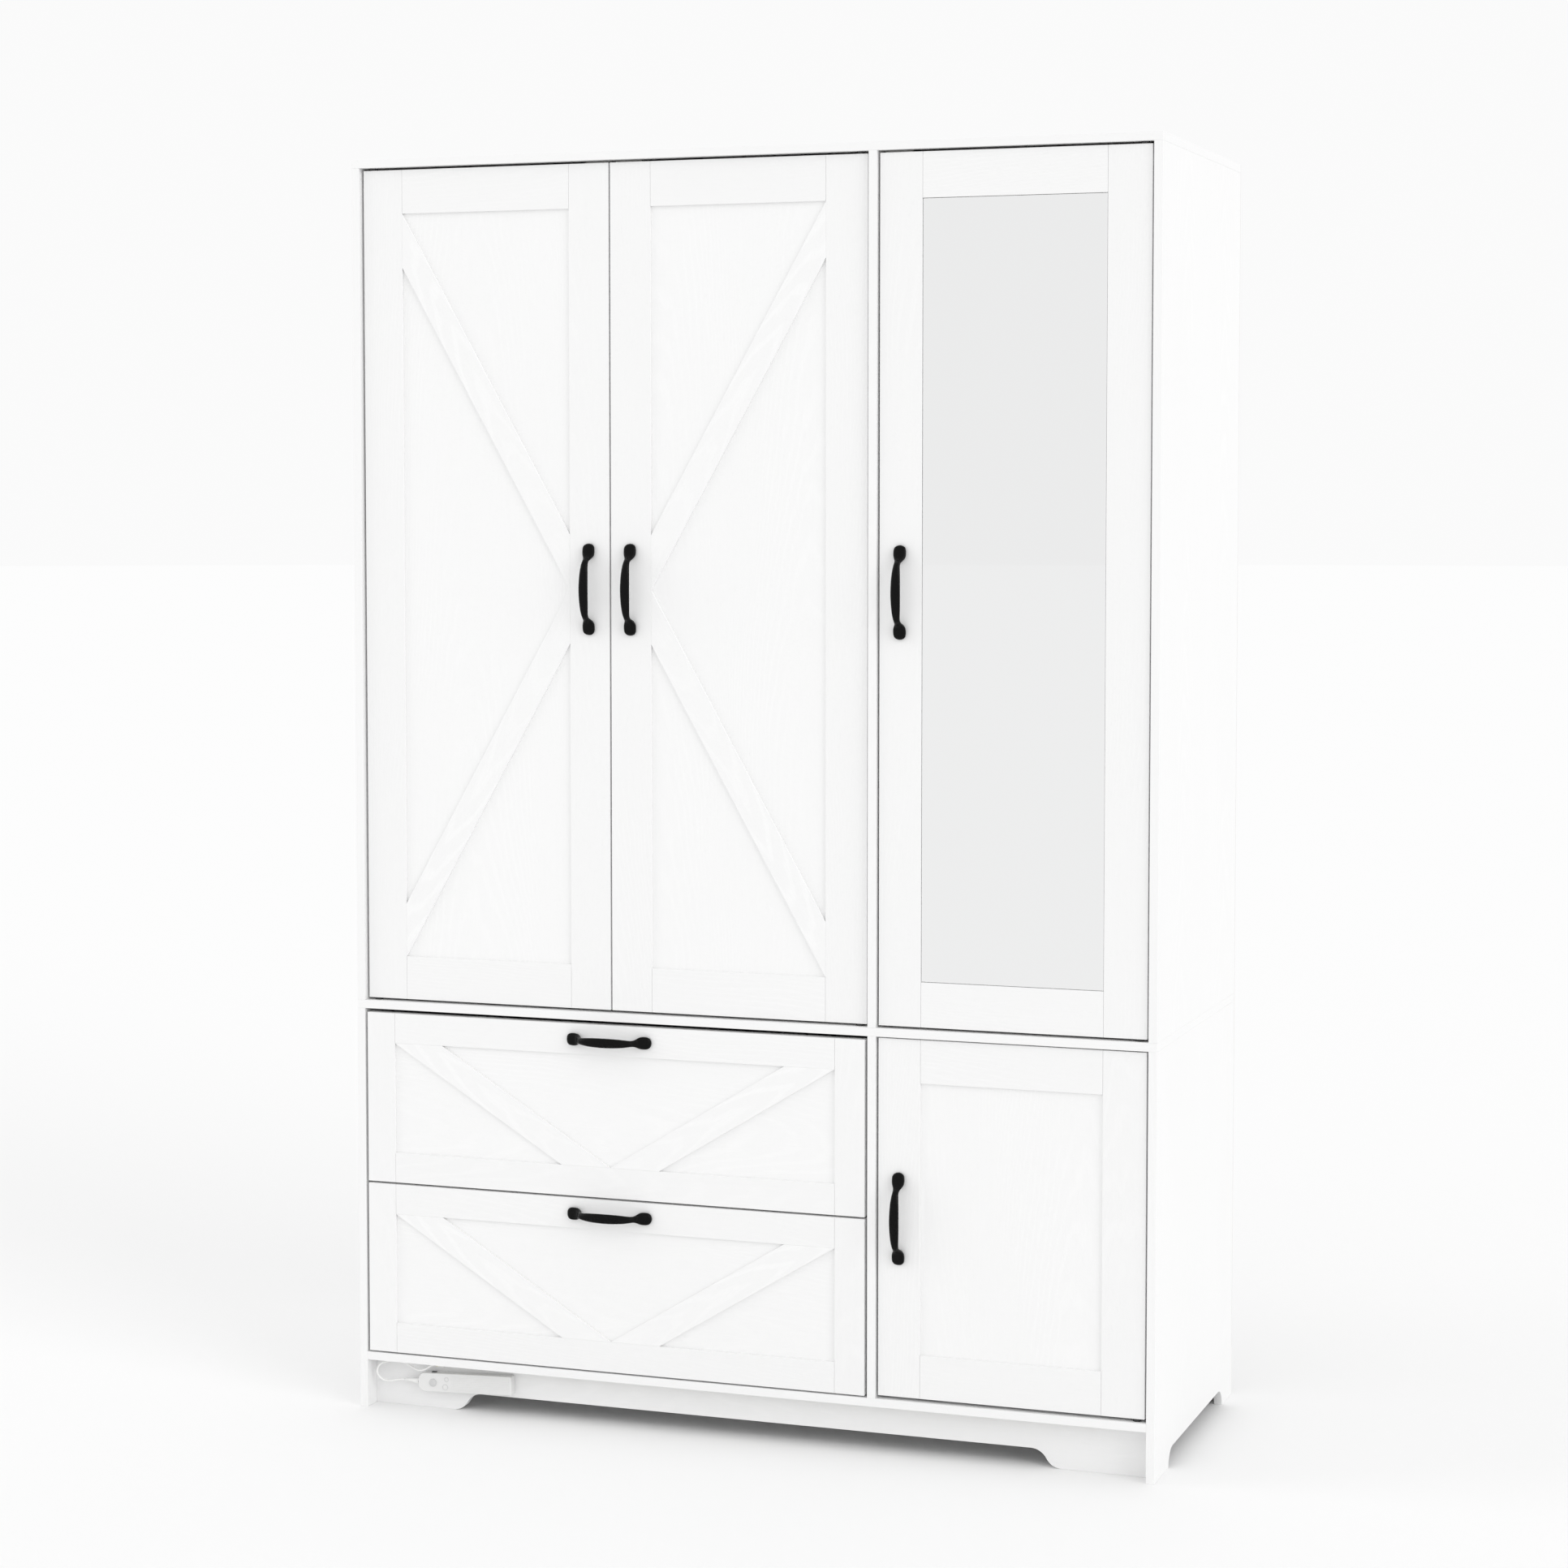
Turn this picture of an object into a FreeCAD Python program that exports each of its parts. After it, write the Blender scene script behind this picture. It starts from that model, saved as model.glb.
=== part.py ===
import FreeCAD, Part
import math
import os

# Farmhouse armoire: a flat-pack case in 12 mm laminated board with two K-braced doors, a mirror
# door, a small framed door and two V-braced drawers. Millimetres, +Z up, the fronts face -Y.
# The origin is on the floor, midway between the sides and midway from the handle tips to the back.

# ---- driving dimensions -------------------------------------------------------------------
# case
case_width = 1200.0
case_depth = 500.0
case_height = 1830.0
board = 12.0                    # thickness of every case board
back_thickness = 3.0            # hardboard backs, nailed on the rear edges
base_height = 71.0              # floor to the underside of the bottom panel
lower_bay_height = 511.0
narrow_bay_width = 388.0        # the right-hand bays

# base
apron_recess = 30.0             # front apron behind the case front
rear_apron_inset = 15.0         # rear apron ahead of the back panels
apron_foot = 126.0              # length of each foot of an apron on the floor
apron_lift = 26.0               # height of the apron's cut-out
apron_ogee = 44.0               # length of the curve at each end of the cut-out
side_foot_front = 85.0
side_foot_rear = 67.0
side_lift = 25.5                # height and corner radius of a side's cut-out

# doors and drawer fronts
core = 12.0                     # the board of a door or drawer front
strip = 4.0                     # frame strips and brace boards on its face
upper_stile = 61.0
upper_rail = 63.0
lower_rail = 61.0
drawer_frame = 44.0
door_brace_cut = 77.5           # mitred end of a K board, measured along the stile
drawer_brace_cut = 75.5         # mitred end of a V board, measured along the rail
pair_recess = 8.0
mirror_recess = 5.0
small_recess = 4.0
pair_side_gap = 3.5
pair_meeting_gap = 2.5
single_side_gap = 3.0
upper_end_gap = 3.5             # above and below the upper doors
small_top_gap = 2.0
small_bottom_gap = 4.5
drawer_side_gap = 4.0
drawer_top_gap = 5.5
drawer_between_gap = 3.0
drawer_bottom_gap = 2.5
mirror_thickness = 3.0
mirror_clearance = 0.4

# pivots: a pin in each door's top and bottom edge turns in a nylon bush in the case
pivot_inset = 12.0              # axis from the door's hinge edge
pivot_depth = 8.0               # axis behind the door's face
pivot_radius = 2.5
pivot_length = 22.0             # pin inside the door
pivot_running_clearance = 0.05
bush_radius = 4.5
bush_flange_radius = 6.0
bush_depth = 5.0                # sleeve inside the case board
bush_end_clearance = 0.3

# handles: cast arch pulls
handle_length = 130.0
handle_reach = 28.0
handle_blade = 5.0              # thickness of the arch at its middle
handle_pad_width = 18.0
handle_pad_length = 21.0
handle_pad_thickness = 4.0
handle_neck_width = 9.0
handle_mid_width = 15.0
handle_screw_spacing = 96.0
screw_radius = 2.0
screw_clearance = 0.1
screw_head_radius = 4.0
screw_head_height = 2.2
screw_bite = 3.0                # screw inside the handle's pad

# drawer boxes and slides
drawer_side_board = 12.0
drawer_box_lift = 16.0          # underside of the box above the front's lower edge
drawer_box_drop = 54.0          # its top below the front's upper edge
drawer_rear_space = 51.0        # behind the box
drawer_bottom_board = 3.0
drawer_bottom_lift = 10.0
drawer_groove = 6.0
groove_clearance = 0.2
slide_space = 12.7              # between a drawer box and the case
slide_height = 45.0
slide_sheet = 1.2
slide_setback = 4.0             # slides behind the drawer front
slide_rear_gap = 26.0           # their ends ahead of the box's rear
slide_running_clearance = 0.3
slide_flange = 9.0

# interior
hat_shelf_height = 280.0        # clear height above the hat shelf
rod_drop = 62.0                 # rod axis below the hat shelf
rod_radius = 12.5
rod_wall = 1.2
rod_fit = 0.3
rod_flange_radius = 24.0
rod_flange_thickness = 3.0
rod_cup_wall = 2.5
rod_cup_depth = 12.0
shelf_front_setback = 45.0
shelf_end_clearance = 1.0
upper_shelf_count = 3
pin_radius = 2.5
pin_length = 16.0
pin_inset = 50.0

# cam fittings of the case
cam_radius = 7.5
cam_depth = 9.5
cam_reach = 24.0                # cam axis from the joint
bolt_radius = 3.0
bolt_bore_clearance = 1.0
bolt_grip = 8.0                 # bolt inside the other board
cam_from_edge = 60.0            # fittings from the front and rear edges
cam_stagger = 32.0

# catches
catch_width = 40.0
catch_depth = 12.0
catch_height = 14.0
catch_from_edge = 22.0
plate_width = 22.0
plate_height = 9.0
plate_thickness = 1.0
plate_gap = 0.3

# wall bracket, screwed under the top panel and through the back
bracket_width = 80.0
bracket_leg = 30.0
bracket_sheet = 2.5
bracket_hole_spacing = 50.0
bracket_hole_radius = 2.5
bracket_hole_drop = 18.0

# motion-sensor light on the base: battery box, lead and light strip
sensor_length = 150.0
sensor_height = 28.0
sensor_depth = 14.0
sensor_end_radius = 11.0
sensor_left = 74.5              # its left end from the case's inner face
sensor_rise = 43.0              # its middle above the floor
sensor_tilt = 2.4               # it is stuck on a little askew, right end up
lens_radius = 5.5
lens_height = 2.5
lens_from_end = 24.0
switch_width = 7.0
switch_travel = 4.0
switch_height = 3.0
switch_thickness = 4.0
switch_from_end = 24.0
plug_length = 25.0
plug_radius = 3.4
plug_collar = 4.0
plug_gap = 0.25
cord_radius = 1.5
strip_light_width = 8.0
strip_light_height = 2.4
strip_light_left = 106.0        # its solder cap from the case's inner face
strip_light_right = 70.0        # its other end from the other inner face
strip_cap_length = 12.0
strip_cap_width = 10.0
strip_cap_height = 4.2
strip_light_setback = 12.0

# ---- places worked out from the sizes -------------------------------------------------------
left = -case_width / 2
right = case_width / 2
front = handle_reach - (case_depth + handle_reach) / 2
rear = front + case_depth - back_thickness      # rear edges of the boards
inner_left = left + board
inner_right = right - board
divider_right = inner_right - narrow_bay_width
divider_left = divider_right - board
bottom_top = base_height + board
middle_low = bottom_top + lower_bay_height
middle_top = middle_low + board
top_low = case_height - board

sheet = {}                      # node name -> list of solids


def vec(x, y, z):
    return FreeCAD.Vector(x, y, z)


X_AXIS = vec(1, 0, 0)
Y_AXIS = vec(0, 1, 0)
Z_AXIS = vec(0, 0, 1)


def box(x0, x1, y0, y1, z0, z1):
    return Part.makeBox(x1 - x0, y1 - y0, z1 - z0, vec(x0, y0, z0))


def rod(start, direction, radius, length):
    return Part.makeCylinder(radius, length, start, direction)


def prism(edges, push):
    """Solid from a closed outline of edges, pushed along a vector."""
    return Part.Face(Part.Wire(edges)).extrude(push)


def polygon_on_front(points, y_front, thickness):
    """Plate with the X-Z outline given, its face at y_front."""
    corners = [vec(x, y_front, z) for x, z in points]
    return Part.Face(Part.makePolygon(corners + corners[:1])).extrude(vec(0, thickness, 0))


def line(a, b):
    return Part.LineSegment(a, b).toShape()


def arc(a, through, b):
    return Part.Arc(a, through, b).toShape()


def add(node, *solids):
    sheet.setdefault(node, []).extend(solids)


def cut_node(node, tools):
    """Drill or pocket every solid of a node with the tools whose boxes reach it."""
    result = []
    for solid in sheet[node]:
        near = [tool for tool in tools if tool.BoundBox.intersect(solid.BoundBox)]
        result.append(solid.cut(near) if near else solid)
    sheet[node] = result


# ---- case ---------------------------------------------------------------------------------
def side_board(x0, name):
    """Lower side: it stands on the floor on two feet either side of a low cut-out."""
    y_start = front + side_foot_front
    y_end = rear + back_thickness - side_foot_rear
    r = side_lift
    s = r * math.sqrt(0.5)
    at = lambda y, z: vec(x0, y, z)
    edges = [
        line(at(front, 0), at(y_start, 0)),
        arc(at(y_start, 0), at(y_start + r - s, s), at(y_start + r, r)),
        line(at(y_start + r, r), at(y_end - r, r)),
        arc(at(y_end - r, r), at(y_end - r + s, s), at(y_end, 0)),
        line(at(y_end, 0), at(rear, 0)),
        line(at(rear, 0), at(rear, middle_low)),
        line(at(rear, middle_low), at(front, middle_low)),
        line(at(front, middle_low), at(front, 0)),
    ]
    add(name, prism(edges, vec(board, 0, 0)))


def apron(y0, name):
    """Apron between the sides, its cut-out ending in an ogee of two equal arcs."""
    half_turn = math.atan(apron_lift / apron_ogee)
    r = apron_ogee / (4 * math.sin(half_turn) * math.cos(half_turn))
    over = r * math.sin(half_turn)
    up = r * (1 - math.cos(half_turn))
    a = inner_left + apron_foot
    b = inner_right - apron_foot
    mid = apron_ogee / 2
    low = apron_lift / 2
    at = lambda x, z: vec(x, y0, z)
    edges = [
        line(at(inner_left, 0), at(a, 0)),
        arc(at(a, 0), at(a + over, up), at(a + mid, low)),
        arc(at(a + mid, low), at(a + apron_ogee - over, apron_lift - up),
            at(a + apron_ogee, apron_lift)),
        line(at(a + apron_ogee, apron_lift), at(b - apron_ogee, apron_lift)),
        arc(at(b - apron_ogee, apron_lift), at(b - apron_ogee + over, apron_lift - up),
            at(b - mid, low)),
        arc(at(b - mid, low), at(b - over, up), at(b, 0)),
        line(at(b, 0), at(inner_right, 0)),
        line(at(inner_right, 0), at(inner_right, base_height)),
        line(at(inner_right, base_height), at(inner_left, base_height)),
        line(at(inner_left, base_height), at(inner_left, 0)),
    ]
    add(name, prism(edges, vec(0, board, 0)))


apron_y = front + apron_recess
rear_apron_y = rear - rear_apron_inset - board

add("top_panel", box(left, right, front, rear, top_low, case_height))
add("middle_panel", box(left, right, front, rear, middle_low, middle_top))
add("bottom_panel", box(inner_left, inner_right, front, rear, base_height, bottom_top))
add("upper_side_left", box(left, inner_left, front, rear, middle_top, top_low))
add("upper_side_right", box(inner_right, right, front, rear, middle_top, top_low))
side_board(left, "lower_side_left")
side_board(inner_right, "lower_side_right")
add("upper_divider", box(divider_left, divider_right, front, rear, middle_top, top_low))
add("lower_divider", box(divider_left, divider_right, front, rear, bottom_top, middle_low))
apron(apron_y, "front_apron")
apron(rear_apron_y, "rear_apron")
back_joint = (middle_low + middle_top) / 2
add("back_panels",
    box(left, right, rear, rear + back_thickness, back_joint, case_height),
    box(left, right, rear, rear + back_thickness, base_height, back_joint))

# ---- interior -----------------------------------------------------------------------------
shelf_front = front + shelf_front_setback
hat_shelf_top = top_low - hat_shelf_height
hat_shelf_low = hat_shelf_top - board
rod_height = hat_shelf_low - rod_drop
rod_y = (shelf_front + rear) / 2


def shelf(node, x0, x1, z_low):
    """Loose shelf between two boards on four pins, each half in its board."""
    add(node, box(x0 + shelf_end_clearance, x1 - shelf_end_clearance, shelf_front, rear,
                  z_low, z_low + board))
    holes = []
    for wall, push in ((x0, 1), (x1, -1)):
        for y in (shelf_front + pin_inset, rear - pin_inset):
            start = vec(wall - push * pin_length / 2, y, z_low - pin_radius)
            pin = rod(start, vec(push, 0, 0), pin_radius, pin_length)
            add("shelf_pins", pin)
            holes.append(pin)
    return holes


pin_holes = shelf("hat_shelf", inner_left, divider_left, hat_shelf_low)
shelf_pitch = (top_low - middle_top - upper_shelf_count * board) / (upper_shelf_count + 1)
for level in range(upper_shelf_count):
    z_low = middle_top + (level + 1) * shelf_pitch + level * board
    pin_holes += shelf("adjustable_shelves", divider_right, inner_right, z_low)
pin_holes += shelf("adjustable_shelves", divider_right, inner_right,
                   bottom_top + (lower_bay_height - board) / 2)
for node in ("upper_side_left", "upper_side_right", "lower_side_right",
             "upper_divider", "lower_divider"):
    cut_node(node, pin_holes)

rod_start = inner_left + rod_flange_thickness + rod_fit
rod_end = divider_left - rod_flange_thickness - rod_fit
rod_outer = rod(vec(rod_start, rod_y, rod_height), X_AXIS, rod_radius, rod_end - rod_start)
rod_bore = rod(vec(rod_start, rod_y, rod_height), X_AXIS, rod_radius - rod_wall, rod_end - rod_start)
add("hanging_rod", rod_outer.cut(rod_bore))
cup_outer = rod_radius + rod_fit + rod_cup_wall
for wall, push in ((inner_left, 1), (divider_left, -1)):
    base = vec(wall, rod_y, rod_height)
    way = vec(push, 0, 0)
    flange = rod(base, way, rod_flange_radius, rod_flange_thickness)
    cup = rod(base, way, cup_outer, rod_cup_depth)
    socket = rod(base + way * rod_flange_thickness, way, rod_radius + rod_fit, rod_cup_depth)
    add("rod_flanges", flange.fuse(cup).cut(socket).removeSplitter())

# ---- cam fittings -------------------------------------------------------------------------
cam_front = front + cam_from_edge
cam_rear = rear - cam_from_edge


def cam_joint(joint, into, face, holder, screwed):
    """Cam in the board `holder`, drawn up to a bolt in `screwed`; `joint` is at mid thickness."""
    bolt = rod(joint - into * bolt_grip, into, bolt_radius, bolt_grip + cam_reach - cam_radius)
    bore = rod(joint, into, bolt_radius + bolt_bore_clearance, cam_reach)
    cam_top = joint + into * cam_reach + face * (board / 2)
    cam = rod(cam_top, face * -1, cam_radius, cam_depth)
    slot = box(-1, 1, -cam_radius * 0.7, cam_radius * 0.7, 0, 1.5)
    slot.Placement = FreeCAD.Placement(cam_top - face * 1.5, FreeCAD.Rotation(Z_AXIS, face))
    add("cam_fittings", cam.cut(slot), bolt)
    cut_node(holder, [bore, cam])
    cut_node(screwed, [bolt])


for y in (cam_front, cam_rear):
    inward = cam_stagger if y == cam_front else -cam_stagger
    for x, face, upper, lower in (
            (left + board / 2, X_AXIS, "upper_side_left", "lower_side_left"),
            (right - board / 2, X_AXIS * -1, "upper_side_right", "lower_side_right"),
            (divider_left + board / 2, X_AXIS, "upper_divider", "lower_divider")):
        cam_joint(vec(x, y, top_low), Z_AXIS * -1, face, upper, "top_panel")
        cam_joint(vec(x, y, middle_top), Z_AXIS, face, upper, "middle_panel")
        cam_joint(vec(x, y + inward, middle_low), Z_AXIS * -1, face, lower, "middle_panel")
    cam_joint(vec(divider_left + board / 2, y, bottom_top), Z_AXIS, X_AXIS,
              "lower_divider", "bottom_panel")
    for x, into, lower in ((inner_left, X_AXIS, "lower_side_left"),
                           (inner_right, X_AXIS * -1, "lower_side_right")):
        cam_joint(vec(x, y, base_height + board / 2), into, Z_AXIS * -1, "bottom_panel", lower)
for x, into, lower in ((inner_left, X_AXIS, "lower_side_left"),
                       (inner_right, X_AXIS * -1, "lower_side_right")):
    for y, face, node in ((apron_y + board / 2, Y_AXIS, "front_apron"),
                          (rear_apron_y + board / 2, Y_AXIS * -1, "rear_apron")):
        cam_joint(vec(x, y, base_height / 2), into, face, node, lower)


# ---- handles ------------------------------------------------------------------------------
def handle_solid():
    """Arch pull along X, centred on the origin, standing off towards -Y from the plane y = 0."""
    half = handle_length / 2
    foot = half - handle_pad_length
    pad = handle_pad_thickness
    outer_end = half - 8.0
    inner_end = foot - 1.0
    wide = handle_pad_width
    at = lambda s, p: vec(s, -p, -wide / 2)
    side_edges = [
        line(at(-half, 0), at(-half, pad)),
        line(at(-half, pad), at(-outer_end, pad)),
        arc(at(-outer_end, pad), at(0, handle_reach), at(outer_end, pad)),
        line(at(outer_end, pad), at(half, pad)),
        line(at(half, pad), at(half, 0)),
        line(at(half, 0), at(inner_end, 0)),
        arc(at(inner_end, 0), at(0, handle_reach - handle_blade), at(-inner_end, 0)),
        line(at(-inner_end, 0), at(-half, 0)),
    ]
    arch = prism(side_edges, vec(0, 0, wide))
    # seen from the front: round-ended pads, narrow necks and a blade that swells at its middle
    neck = handle_neck_width / 2
    mid = handle_mid_width / 2
    r = wide / 2
    neck_at = foot - 6.0
    on = lambda s, z: vec(s, 1, z)
    outline = [
        arc(on(-half + r, -r), on(-half, 0), on(-half + r, r)),
        arc(on(-half + r, r), on(-(half + neck_at) / 2, (r + neck) / 2 + 1.2), on(-neck_at, neck)),
        arc(on(-neck_at, neck), on(0, mid), on(neck_at, neck)),
        arc(on(neck_at, neck), on((half + neck_at) / 2, (r + neck) / 2 + 1.2), on(half - r, r)),
        arc(on(half - r, r), on(half, 0), on(half - r, -r)),
        arc(on(half - r, -r), on((half + neck_at) / 2, -(r + neck) / 2 - 1.2), on(neck_at, -neck)),
        arc(on(neck_at, -neck), on(0, -mid), on(-neck_at, -neck)),
        arc(on(-neck_at, -neck), on(-(half + neck_at) / 2, -(r + neck) / 2 - 1.2),
            on(-half + r, -r)),
    ]
    silhouette = prism(outline, vec(0, -handle_reach - 2, 0))
    pull = arch.common(silhouette)
    for s in (-handle_screw_spacing / 2, handle_screw_spacing / 2):
        pull = pull.cut(rod(vec(s, 0, 0), Y_AXIS * -1, screw_radius, screw_bite))
    return pull.Solids[0]


pull_master = handle_solid()


def add_handle(prefix, x, y_face, z, upright, holes_in):
    """Handle on a face with its two screws, driven from behind through core and strip."""
    pull = pull_master.copy()
    if upright:
        pull.rotate(vec(0, 0, 0), Y_AXIS, 90)
    pull.translate(vec(x, y_face, z))
    add(prefix + "_handle", pull)
    along = Z_AXIS if upright else X_AXIS
    back = y_face + strip + core
    drills = []
    for s in (-handle_screw_spacing / 2, handle_screw_spacing / 2):
        centre = vec(x, back, z) + along * s
        head = rod(centre, Y_AXIS, screw_head_radius, screw_head_height)
        shank = rod(centre, Y_AXIS * -1, screw_radius, strip + core + screw_bite)
        add(prefix + "_fittings", head.fuse(shank).removeSplitter())
        drills.append(rod(centre, Y_AXIS * -1, screw_radius + screw_clearance, strip + core))
    for node in holes_in:
        cut_node(node, drills)


# ---- fronts -------------------------------------------------------------------------------
def add_front(prefix, x0, x1, z0, z1, y_face, stile, rail):
    """Core board with a frame of two full-height stiles and two rails between them."""
    y_core = y_face + strip
    add(prefix + "_panel", box(x0, x1, y_core, y_core + core, z0, z1))
    add(prefix + "_frame",
        box(x0, x0 + stile, y_face, y_core, z0, z1),
        box(x1 - stile, x1, y_face, y_core, z0, z1),
        box(x0 + stile, x1 - stile, y_face, y_core, z1 - rail, z1),
        box(x0 + stile, x1 - stile, y_face, y_core, z0, z0 + rail))
    return x0 + stile, x1 - stile, z0 + rail, z1 - rail


def add_k_brace(prefix, field, y_face, point_right):
    """Two boards from the far corners that meet at mid height on the other stile."""
    x0, x1, z0, z1 = field
    far, near = (x0, x1) if point_right else (x1, x0)
    middle = (z0 + z1) / 2
    for corner, way in ((z1, 1), (z0, -1)):
        outline = [(far, corner), (near, middle + way * door_brace_cut),
                   (near, middle), (far, corner - way * door_brace_cut)]
        add(prefix + "_brace", polygon_on_front(outline, y_face, strip))


def v_brace(field, y_face):
    """Two boards from the upper corners that meet at the middle of the lower rail."""
    x0, x1, z0, z1 = field
    middle = (x0 + x1) / 2
    boards = []
    for corner, way in ((x0, 1), (x1, -1)):
        outline = [(corner, z1), (corner + way * drawer_brace_cut, z1),
                   (middle, z0), (middle - way * drawer_brace_cut, z0)]
        boards.append(polygon_on_front(outline, y_face, strip))
    return boards


def add_pivots(prefix, x, y_face, z0, z1, low_board, high_board):
    """Pins in the door's ends, each turning in a flanged bush let into the case."""
    y = y_face + pivot_depth
    for edge, way, case_face, case_node in ((z1, 1, high_board[1], high_board[0]),
                                            (z0, -1, low_board[1], low_board[0])):
        up = vec(0, 0, way)
        gap = abs(case_face - edge)
        pin = rod(vec(x, y, edge) - up * pivot_length, up, pivot_radius,
                  pivot_length + gap + bush_depth - bush_end_clearance)
        add(prefix + "_fittings", pin)
        cut_node(prefix + "_panel", [pin])
        flange = rod(vec(x, y, edge) + up * bush_end_clearance, up, bush_flange_radius,
                     gap - bush_end_clearance)
        sleeve = rod(vec(x, y, case_face), up, bush_radius, bush_depth)
        bore = rod(vec(x, y, edge), up, pivot_radius + pivot_running_clearance, gap + bush_depth)
        add("pivot_bushes", flange.fuse(sleeve).cut(bore).removeSplitter())
        cut_node(case_node, [sleeve])


def add_catch(prefix, x, y_back, z_top):
    """Steel plate on a door's back, and the magnetic catch that it meets under a case board."""
    add(prefix + "_fittings", box(x - plate_width / 2, x + plate_width / 2, y_back,
                                  y_back + plate_thickness, z_top - catch_height,
                                  z_top - catch_height + plate_height))
    y0 = y_back + plate_thickness + plate_gap
    body = box(x - catch_width / 2, x + catch_width / 2, y0, y0 + catch_depth,
               z_top - catch_height, z_top)
    magnet_slot = box(x - catch_width / 4, x + catch_width / 4, y0, y0 + 1.0,
                      z_top - catch_height + 3, z_top - 5)
    add("door_catches", body.cut(magnet_slot))



upper_z0 = middle_top + upper_end_gap
upper_z1 = top_low - upper_end_gap
upper_mid = (upper_z0 + upper_z1) / 2
pair_y = front + pair_recess
pair_width = (divider_left - inner_left - 2 * pair_side_gap - pair_meeting_gap) / 2

left_x0 = inner_left + pair_side_gap
left_x1 = left_x0 + pair_width
right_x0 = left_x1 + pair_meeting_gap
right_x1 = right_x0 + pair_width
single_x0 = divider_right + single_side_gap
single_x1 = inner_right - single_side_gap
small_z0 = bottom_top + small_bottom_gap
small_z1 = middle_low - small_top_gap
mirror_y = front + mirror_recess
small_y = front + small_recess

# left and right doors of the pair
for name, x0, x1, point_right in (("door_left", left_x0, left_x1, True),
                                  ("door_right", right_x0, right_x1, False)):
    field = add_front(name, x0, x1, upper_z0, upper_z1, pair_y, upper_stile, upper_rail)
    add_k_brace(name, field, pair_y, point_right)
    hinge_x = x0 + pivot_inset if point_right else x1 - pivot_inset
    add_pivots(name, hinge_x, pair_y, upper_z0, upper_z1,
               ("middle_panel", middle_top), ("top_panel", top_low))
    handle_x = x1 - upper_stile / 2 if point_right else x0 + upper_stile / 2
    add_handle(name, handle_x, pair_y, upper_mid, True, [name + "_panel", name + "_frame"])
    catch_x = x1 - catch_from_edge if point_right else x0 + catch_from_edge
    add_catch(name, catch_x, pair_y + strip + core, top_low)

# mirror door
field = add_front("door_mirror", single_x0, single_x1, upper_z0, upper_z1, mirror_y,
                  upper_stile, upper_rail)
glass_y = mirror_y + strip - mirror_thickness
add("mirror_glass", box(field[0] + mirror_clearance, field[1] - mirror_clearance,
                        glass_y, glass_y + mirror_thickness,
                        field[2] + mirror_clearance, field[3] - mirror_clearance))
add_pivots("door_mirror", single_x1 - pivot_inset, mirror_y, upper_z0, upper_z1,
           ("middle_panel", middle_top), ("top_panel", top_low))
add_handle("door_mirror", single_x0 + upper_stile / 2, mirror_y, upper_mid, True,
           ["door_mirror_panel", "door_mirror_frame"])
add_catch("door_mirror", single_x0 + catch_from_edge, mirror_y + strip + core, top_low)

# small door
add_front("door_small", single_x0, single_x1, small_z0, small_z1, small_y,
          upper_stile, lower_rail)
add_pivots("door_small", single_x1 - pivot_inset, small_y, small_z0, small_z1,
           ("bottom_panel", bottom_top), ("middle_panel", middle_low))
add_handle("door_small", single_x0 + upper_stile / 2, small_y, (small_z0 + small_z1) / 2, True,
           ["door_small_panel", "door_small_frame"])
add_catch("door_small", single_x0 + catch_from_edge, small_y + strip + core, middle_low)

# ---- drawers ------------------------------------------------------------------------------
drawer_height = (lower_bay_height - drawer_top_gap - drawer_between_gap - drawer_bottom_gap) / 2
drawer_x0 = inner_left + drawer_side_gap
drawer_x1 = divider_left - drawer_side_gap
box_x0 = inner_left + slide_space
box_x1 = divider_left - slide_space
box_y0 = front + strip + core
box_y1 = rear - drawer_rear_space
slide_y0 = box_y0 + slide_setback
slide_y1 = box_y1 - slide_rear_gap


def add_drawer(name, z0):
    z1 = z0 + drawer_height
    field = add_front(name, drawer_x0, drawer_x1, z0, z1, front, drawer_frame, drawer_frame)
    add(name + "_frame", *v_brace(field, front))
    box_z0 = z0 + drawer_box_lift
    box_z1 = z1 - drawer_box_drop
    floor_z = box_z0 + drawer_bottom_lift
    t = drawer_side_board
    add(name + "_box",
        box(box_x0, box_x0 + t, box_y0, box_y1, box_z0, box_z1),
        box(box_x1 - t, box_x1, box_y0, box_y1, box_z0, box_z1),
        box(box_x0 + t, box_x1 - t, box_y1 - t, box_y1, floor_z + drawer_bottom_board, box_z1))
    reach = drawer_groove - groove_clearance
    add(name + "_bottom", box(box_x0 + t - reach, box_x1 - t + reach, box_y0 - reach, box_y1,
                              floor_z, floor_z + drawer_bottom_board))
    groove = box(box_x0 + t - drawer_groove, box_x1 - t + drawer_groove,
                 box_y0 - drawer_groove, box_y1, floor_z, floor_z + drawer_bottom_board)
    cut_node(name + "_box", [groove])
    cut_node(name + "_panel", [groove])
    add_handle(name, (drawer_x0 + drawer_x1) / 2, front, z1 - drawer_frame / 2, False,
               [name + "_panel", name + "_frame"])
    add_slides(name, (box_z0 + box_z1) / 2)


def channel(wall, way, height, z_mid):
    """C section along Y: a web on the plane x = wall and two flanges reaching along `way`."""
    x_web = wall + way * slide_sheet
    x_tip = wall + way * slide_flange
    low = z_mid - height / 2
    high = z_mid + height / 2
    web = box(min(wall, x_web), max(wall, x_web), slide_y0, slide_y1, low, high)
    span = (min(x_web, x_tip), max(x_web, x_tip))
    lower = box(*span, slide_y0, slide_y1, low, low + slide_sheet)
    upper = box(*span, slide_y0, slide_y1, high - slide_sheet, high)
    return web.fuse([lower, upper]).removeSplitter()


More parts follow.
